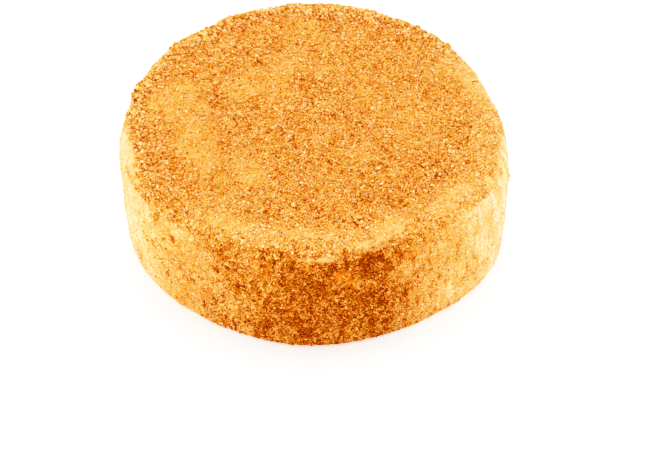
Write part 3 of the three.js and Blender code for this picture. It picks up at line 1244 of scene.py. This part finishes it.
@dataclass
class LooseCrumbs:
    """Scatters the crumbs over the coat's skin, kind by kind.

    Weights say what a share of each zone adds, and in what is called a scale, by how much of itself
    it raises or lowers a value.

    Attributes:
        skin: What they lie on.
        zones: Where each kind of surface lies.
        material: Their finish.
        low: The least corner of the box that no crumb leaves.
        high: Its greatest corner.
    """

    skin: Skin
    zones: Zones
    material: bpy.types.Material
    low: Array
    high: Array
    # How bare of crumbs the zones are, and the pale wall with its streaks, most of all lower down.
    bare: Weights = (("cream", 1.2), ("soaked", 0.6), ("gaps", 0.25), ("pits", 0.5))
    pale_bare: float = 0.35
    lower_bare: float = 0.35
    lower: Reach = (66.0, 48.0)
    streaks: Layers = (NoiseLayer(0.3, 2.4, 17, 5.0),)
    barest: float = 0.97
    # How thickly coarse crumbs lie: in patches on the top, in the rim's band, and clods elsewhere.
    patchy: float = 0.55
    patches: Layers = (NoiseLayer(0.35, 12.0, 51),)
    patch_scale: Weights = (("pressed", -0.7),)
    swept: float = 1.8
    stray_clods: float = 0.04
    # Where the wall's crumbs lie in clumps, and how thickly between them and beside the front.
    clump_reach: Reach = (0.3, -0.4)
    clump_least: float = 0.1
    clump_sides: float = 0.35
    clump_scale: Weights = (("pale", -0.9),)
    # How thickly crumbs of crust lie, crowded on the front and in the dents partly as painted shade, bits
    # of cream among the coarse crumbs, and both on specks.
    dark: Weights = (("back_rim", 0.9), ("scorched", 8.0), ("front", 2.0), ("dents", 4.0))
    dark_least: float = 0.25
    dark_scale: Weights = (("pale", -0.9), ("cream", -0.9))
    on_crust: float = 40.0
    stray_cream: float = 0.3
    on_cream: float = 60.0
    # How crumbs vary in size and, up to a few spreads, in tone, how much darker the zones make them,
    # which is partly painted shade on the front, painted shade in the gaps, dents and pits, and partly
    # painted light on the pale wall, and the lightest tone of all but the palest kinds, which painted
    # shade holds down on the front and painted light raises on the pale wall.
    size_scale: Weights = (("smooth", -0.35),)
    few_large: float = 2.0
    stray_scale: Weights = (("smooth", -0.35), ("front", 0.2), ("pressed", -0.25))
    shades: Weights = (
        ("front", 0.28), ("pale", -0.24), ("soaked", 0.05), ("scorched", 0.25), ("pressed", -0.09),
        ("gaps", 0.25), ("dents", 0.25), ("pits", 0.3),
    )
    lightest: float = 0.82
    light_shift: Weights = (("pale", 0.1), ("front", -0.26))
    farthest: float = 2.0
    # How far a crumb's corners lie off its middle, as a share of half its length, its width as a
    # share of its length, how far it leans, how upright it may be before another direction guides
    # its turn, and how much of its cell in the map it fills.
    broken: Reach = (0.62, 1.12)
    widths: Reach = (0.65, 1.0)
    tilt: float = 0.28
    upright: float = 0.9
    cell_fill: float = 0.42

    def covered(self, spots: Spots) -> Array:
        """Says how thickly crumbs lie anywhere, which is thin on cream and in the gaps.

        Args:
            spots: Places on the coat.

        Returns:
            The cover at each, from nearly 0 to 1.
        """
        zones = self.zones
        thin = self.pale_bare + self.lower_bare * ease(spots.height, *self.lower) + spots.mix(self.streaks)
        bare = np.maximum(zones.most(self.bare, spots), zones.pale(spots) * thin)
        return (1.0 - bare.clip(0.0, self.barest)) * zones.clear_of_table(spots)

    def coarse_weight(self, spots: Spots) -> Array:
        """Says where the top's coarse crumbs lie: in the rim's band, and patchily over the rest.

        Args:
            spots: Places on the coat.

        Returns:
            How thickly they lie at each.
        """
        zones = self.zones
        patchy = (self.patchy + spots.mix(self.patches)) * zones.scale(self.patch_scale, spots)
        return self.covered(spots) * zones.top(spots) * (patchy + self.swept * zones.back_rim(spots))

    def clump_weight(self, spots: Spots) -> Array:
        """Says where the wall's coarse crumbs lie: in clumps between its gaps.

        Args:
            spots: Places on the coat.

        Returns:
            How thickly they lie at each.
        """
        zones = self.zones
        clumps = self.clump_least + ease(spots.mix(zones.clumps), *self.clump_reach)
        beside = self.clump_sides + (1.0 - self.clump_sides) * zones.front(spots)
        where = zones.wall(spots) * zones.scale(self.clump_scale, spots) * beside * clumps
        return self.covered(spots) ** 2 * where

    def clod_weight(self, spots: Spots) -> Array:
        """Says where clods lie: mostly along the back of the rim."""
        return self.covered(spots) * (self.stray_clods + self.swept * self.zones.back_rim(spots))

    def dark_weight(self, spots: Spots) -> Array:
        """Says where crumbs of crust lie: in the rim's band, scorched clumps, and on the front and in its
        dents, partly as painted shade.

        Args:
            spots: Places on the coat.

        Returns:
            How thickly they lie at each.
        """
        zones = self.zones
        dark = self.dark_least + zones.total(self.dark, spots)
        dark += self.on_crust * zones.near(zones.crust_specks, spots)
        return dark * zones.scale(self.dark_scale, spots) * zones.clear_of_table(spots)

    def cream_weight(self, spots: Spots) -> Array:
        """Says where bits of cream lie: at a few places on the top, and here and there."""
        specks = self.on_cream * self.zones.near(self.zones.cream_specks, spots)
        return self.stray_cream * self.coarse_weight(spots) + specks

    def kinds(self) -> list[CrumbKind]:
        """Lists the kinds of crumb, the coarsest first.

        Returns:
            The kinds in the order they are made.
        """
        grain, chip = CrumbForm.GRAIN, CrumbForm.CHIP
        rows = (
            ("rim_clods", chip, 900, (2.2, 4.4), 0.63, 0.15, self.clod_weight, 0.8, 0.1, 0.5, 11),
            ("coarse_crumbs", chip, 5200, (1.4, 2.7), 0.72, 0.18, self.coarse_weight, 0.8, 0.2, 0.5, 12),
            ("wall_clumps", chip, 4200, (1.3, 2.6), 0.65, 0.18, self.clump_weight, 0.7, 0.1, 0.0, 18),
            ("crust_crumbs", grain, 3400, (0.8, 1.9), 0.1, 0.08, self.dark_weight, 0.8, 0.2, 0.4, 13),
            ("cream_bits", chip, 90, (1.0, 2.2), 0.95, 0.04, self.cream_weight, 0.6, 0.3, 0.5, 14),
            ("fine_crumbs_toasted", grain, 24000, (0.85, 1.7), 0.54, 0.22, self.covered, 0.85, 0.05, 0.4, 15),
            ("fine_crumbs_golden", grain, 24800, (0.85, 1.6), 0.74, 0.18, self.covered, 0.85, 0.2, 0.4, 16),
            ("fine_crumbs_pale", grain, 22000, (0.85, 1.5), 0.86, 0.13, self.covered, 0.85, 0.3, 0.4, 17),
        )
        return [CrumbKind(*row) for row in rows]

    def sizes(self, kind: CrumbKind, spots: Spots, draw: np.random.Generator) -> Array:
        """Draws each crumb's length, with many small ones and few large ones.

        Args:
            kind: What the crumbs look like.
            spots: Where they lie.
            draw: The seeded source of random numbers.

        Returns:
            The length of each, least where the coat is smooth.
        """
        low, high = kind.sizes
        lengths = low + (high - low) * draw.random(kind.count) ** self.few_large
        return lengths * self.zones.scale(self.size_scale, spots)

    def tones(self, kind: CrumbKind, spots: Spots, draw: np.random.Generator) -> Array:
        """Draws each crumb's colour, darker on the front, partly with painted shade, and in the drifts of the
        top.

        Args:
            kind: What the crumbs look like.
            spots: Where they lie.
            draw: The seeded source of random numbers.

        Returns:
            The tone of each, from 0, crust, to 1, pale.
        """
        zones = self.zones
        stray = kind.spread * draw.normal(size=kind.count).clip(-self.farthest, self.farthest)
        stray *= zones.scale(self.stray_scale, spots)
        lightest = max(kind.tone, self.lightest) + zones.total(self.light_shift, spots)
        tones = kind.tone + stray + zones.drift(spots) - zones.total(self.shades, spots)
        return np.minimum(tones, lightest).clip(0.0, 1.0)

    def kept_inside(self, points: Array) -> Array:
        """Moves whole crumbs back into the box.

        Args:
            points: The corners of every crumb, in millimetres.

        Returns:
            The corners where they lie now.
        """
        over = np.maximum(points.max(axis=1) - self.high, 0.0)
        under = np.maximum(self.low - points.min(axis=1), 0.0)
        return points - over[:, None] + under[:, None]

    def lay_out(self, mesh: bpy.types.Mesh, corners: Array, sides: Array, count: int) -> None:
        """Gives every crumb a cell of its own in the map that its colours can be baked to.

        Args:
            mesh: The joined crumbs.
            corners: The corners of the unit solid.
            sides: Its sides.
            count: How many crumbs there are.
        """
        across = math.ceil(math.sqrt(count))
        number = np.arange(count)
        origin = np.stack([number % across, number // across], axis=1)[:, None, None]
        shape = corners[sides][:, :, :2] * self.cell_fill + 0.5
        layer = mesh.uv_layers.new(name=BAKE_MAP)
        layer.uv.foreach_set("vector", ((origin + shape) / across).astype(np.float32).ravel())

    def build(self, kind: CrumbKind) -> bpy.types.Object:
        """Makes all crumbs of one kind as one joined mesh.

        Args:
            kind: What they look like and where they lie.

        Returns:
            The piece.
        """
        draw = np.random.default_rng(kind.seed)
        corners, sides = kind.form.solid()
        spots = self.skin.scatter(kind.count, kind.weight, draw)
        length = self.sizes(kind, spots, draw)
        shapes = corners[None] * draw.uniform(*self.broken, (kind.count, len(corners), 1)) * 0.5
        spin = draw.uniform(0.0, 2.0 * math.pi, kind.count)
        out = unit(spots.normals + draw.normal(size=(kind.count, 3)) * self.tilt)
        guide = np.where(np.abs(out[:, 2:3]) < self.upright, [[0.0, 0.0, 1.0]], [[1.0, 0.0, 0.0]])
        side = unit(np.cross(guide, out))
        ahead = np.cross(out, side)
        cosine, sine = np.cos(spin)[:, None], np.sin(spin)[:, None]
        long_axis, wide_axis = cosine * side + sine * ahead, cosine * ahead - sine * side
        width = length * draw.uniform(*self.widths, kind.count)
        spans = ((long_axis, length), (wide_axis, width), (out, length * kind.flatness))
        axes = np.stack([axis * span[:, None] for axis, span in spans], axis=1)
        heaped = kind.heap * self.zones.back_rim(spots) * draw.random(kind.count)
        raised = kind.lift * length * kind.flatness + heaped
        middles = spots.points + spots.normals * raised[:, None]
        points = (np.einsum("nck,nkx->ncx", shapes, axes) + middles[:, None]).reshape(-1, 3)
        points = self.kept_inside(points.reshape(kind.count, -1, 3))
        offsets = (np.arange(kind.count) * len(corners))[:, None, None]
        faces = (sides[None] + offsets).reshape(-1, 3)
        piece = mesh_object(kind.name, points.reshape(-1, 3), faces, self.material)
        self.lay_out(piece.data, corners, sides, kind.count)
        set_attribute(piece.data, TONE, np.repeat(self.tones(kind, spots, draw), len(corners)))
        return piece


# ------------------------------------------------------------------------------------------ studio
@dataclass(frozen=True)
class Softbox:
    """One square soft light.

    Attributes:
        name: Its name.
        place: Where it hangs, in metres.
        side: Its width, in metres.
        power: Its power in watts.
    """

    name: str
    place: tuple[float, float, float]
    side: float
    power: float

    def build(self, target: Vector) -> None:
        """Hangs the light and turns it to a target.

        Args:
            target: The place it shines on, in metres.
        """
        lamp = bpy.data.lights.new(self.name, "AREA")
        lamp.shape = "SQUARE"
        lamp.size = self.side
        lamp.energy = self.power
        holder = add_object(self.name, lamp)
        holder.location = self.place
        holder.rotation_euler = (target - Vector(self.place)).to_track_quat("-Z", "Y").to_euler()


@dataclass(frozen=True)
class Studio:
    """The white table, which is lit from under, the other lights and the camera.

    Attributes:
        middle: The middle of the cake's outline at half height, in metres.
        elevation: How steeply the camera's place looks down on that middle, in degrees.
        distance: How far off the camera is, in metres.
        pan: How far the camera is turned aside from the middle, in degrees.
        lowered: How far it looks under the middle, in degrees.
        roll: How far it leans, in degrees.
        lens: Its focal length in millimetres.
        sensor: The width of its sensor in millimetres.
        nearest: How close to it things show, in metres.
        fill: The brightness of the white room.
        white: The colour of the room and of the table's glow.
        glow: The brightness that the table has of its own.
        table_half: Half the table's width, in metres.
        table_colour: The table's colour.
        table_roughness: How dull it is.
        softboxes: The lights.
        curve: The film curve, as brightness taken in and brightness given out: a toe that deepens
            the shadows, and a shoulder that holds the highlights back.
        all_channels: Which of the view's curves bears on red, green and blue alike.
    """

    middle: tuple[float, float, float] = (-0.0002, -0.0011, 0.036)
    elevation: float = 40.53
    distance: float = 1.105
    pan: float = -0.349
    lowered: float = 2.008
    roll: float = 0.11
    lens: float = 99.7
    sensor: float = 36.0
    nearest: float = 0.01
    fill: float = 0.79
    white: str = "#ffffff"
    glow: float = 0.2
    table_half: float = 3.0
    table_colour: str = "#f8f7f6"
    table_roughness: float = 0.7
    softboxes: tuple[Softbox, ...] = (
        Softbox("left_softbox", (-1.0, 0.05, 0.25), 0.5, 2.0),
        Softbox("right_softbox", (1.0, 0.05, 0.25), 0.5, 2.2),
        Softbox("front_softbox", (-0.2, -1.1, 0.5), 0.8, 6.5),
        Softbox("top_softbox", (0.0, 0.4, 1.27), 0.8, 11.9),
    )
    curve: tuple[tuple[float, float], ...] = (
        (0.0, 0.0), (0.03, 0.008), (0.08, 0.045), (0.25, 0.225),
        (0.5, 0.54), (0.75, 0.8), (1.0, 0.94), (1.3, 1.0),
    )
    all_channels: int = 3

    def camera(self) -> None:
        """Makes the camera at the viewing angle and aims it."""
        steep = math.radians(self.elevation)
        back = Vector((0.0, -math.cos(steep), math.sin(steep)))
        ahead, right = -back, Vector((1.0, 0.0, 0.0))
        up = right.cross(ahead)
        turns = (("up", self.pan), ("right", -self.lowered), ("ahead", self.roll))
        axes = {"ahead": ahead, "right": right, "up": up}
        for name, degrees in turns:
            turn = Matrix.Rotation(math.radians(degrees), 3, axes[name])
            axes = {key: axis if key == name else turn @ axis for key, axis in axes.items()}
        data = bpy.data.cameras.new("camera")
        data.lens = self.lens
        data.sensor_width = self.sensor
        data.clip_start = self.nearest
        camera = add_object("camera", data)
        basis = Matrix((axes["right"], axes["up"], -axes["ahead"])).transposed()
        camera.matrix_world = Matrix.Translation(Vector(self.middle) + back * self.distance) @ basis.to_4x4()
        bpy.context.scene.camera = camera

    def table(self) -> None:
        """Lays the plain white table, an acrylic sheet that shines a little of its own."""
        half = self.table_half
        mesh = bpy.data.meshes.new("table")
        corners = [(x, y, 0.0) for x, y in ((-half, -half), (half, -half), (half, half), (-half, half))]
        mesh.from_pydata(corners, [], [(0, 1, 2, 3)])
        white = bpy.data.materials.new("white_acrylic")
        white.use_nodes = True
        looks = {"Base Color": linear(self.table_colour), "Roughness": self.table_roughness}
        looks |= {"Emission Color": linear(self.white), "Emission Strength": self.glow}
        for name, value in looks.items():
            white.node_tree.nodes["Principled BSDF"].inputs[name].default_value = value
        mesh.materials.append(white)
        floor = add_object("table", mesh)

    def room(self) -> None:
        """Makes the white room and the way the picture is developed."""
        world = bpy.data.worlds.new("white_room")
        world.use_nodes = True
        background = world.node_tree.nodes["Background"]
        background.inputs["Color"].default_value = linear(self.white)
        background.inputs["Strength"].default_value = self.fill
        bpy.context.scene.world = world
        view = bpy.context.scene.view_settings
        view.view_transform = "Standard"
        view.look = "None"
        view.use_curve_mapping = True
        mapping = view.curve_mapping
        mapping.clip_max_x = self.curve[-1][0]
        film = mapping.curves[self.all_channels]
        film.points[0].location, film.points[-1].location = self.curve[0], self.curve[-1]
        for point in self.curve[1:-1]:
            film.points.new(*point)
        mapping.update()

    def build(self) -> None:
        """Makes the whole studio."""
        self.camera()
        self.table()
        self.room()
        for softbox in self.softboxes:
            softbox.build(Vector(self.middle))


def main() -> None:
    """Builds the studio, the coat and its crumbs, and reports each piece."""
    logging.basicConfig(level=logging.INFO, format="%(name)s %(message)s")
    Studio().build()
    zones = Zones()
    coat, skin = CrumbCoat(zones, BakeSheet()).build(CoatFinish("bedded_crumbs").material())
    report(coat)
    low, high = (np.array(corner) / MM for corner in CAD_BOX)
    crumbs = LooseCrumbs(skin, zones, SpongeFinish("honey_sponge").material(), low, high)
    for kind in crumbs.kinds():
        report(crumbs.build(kind))


if __name__ == "__main__":
    main()
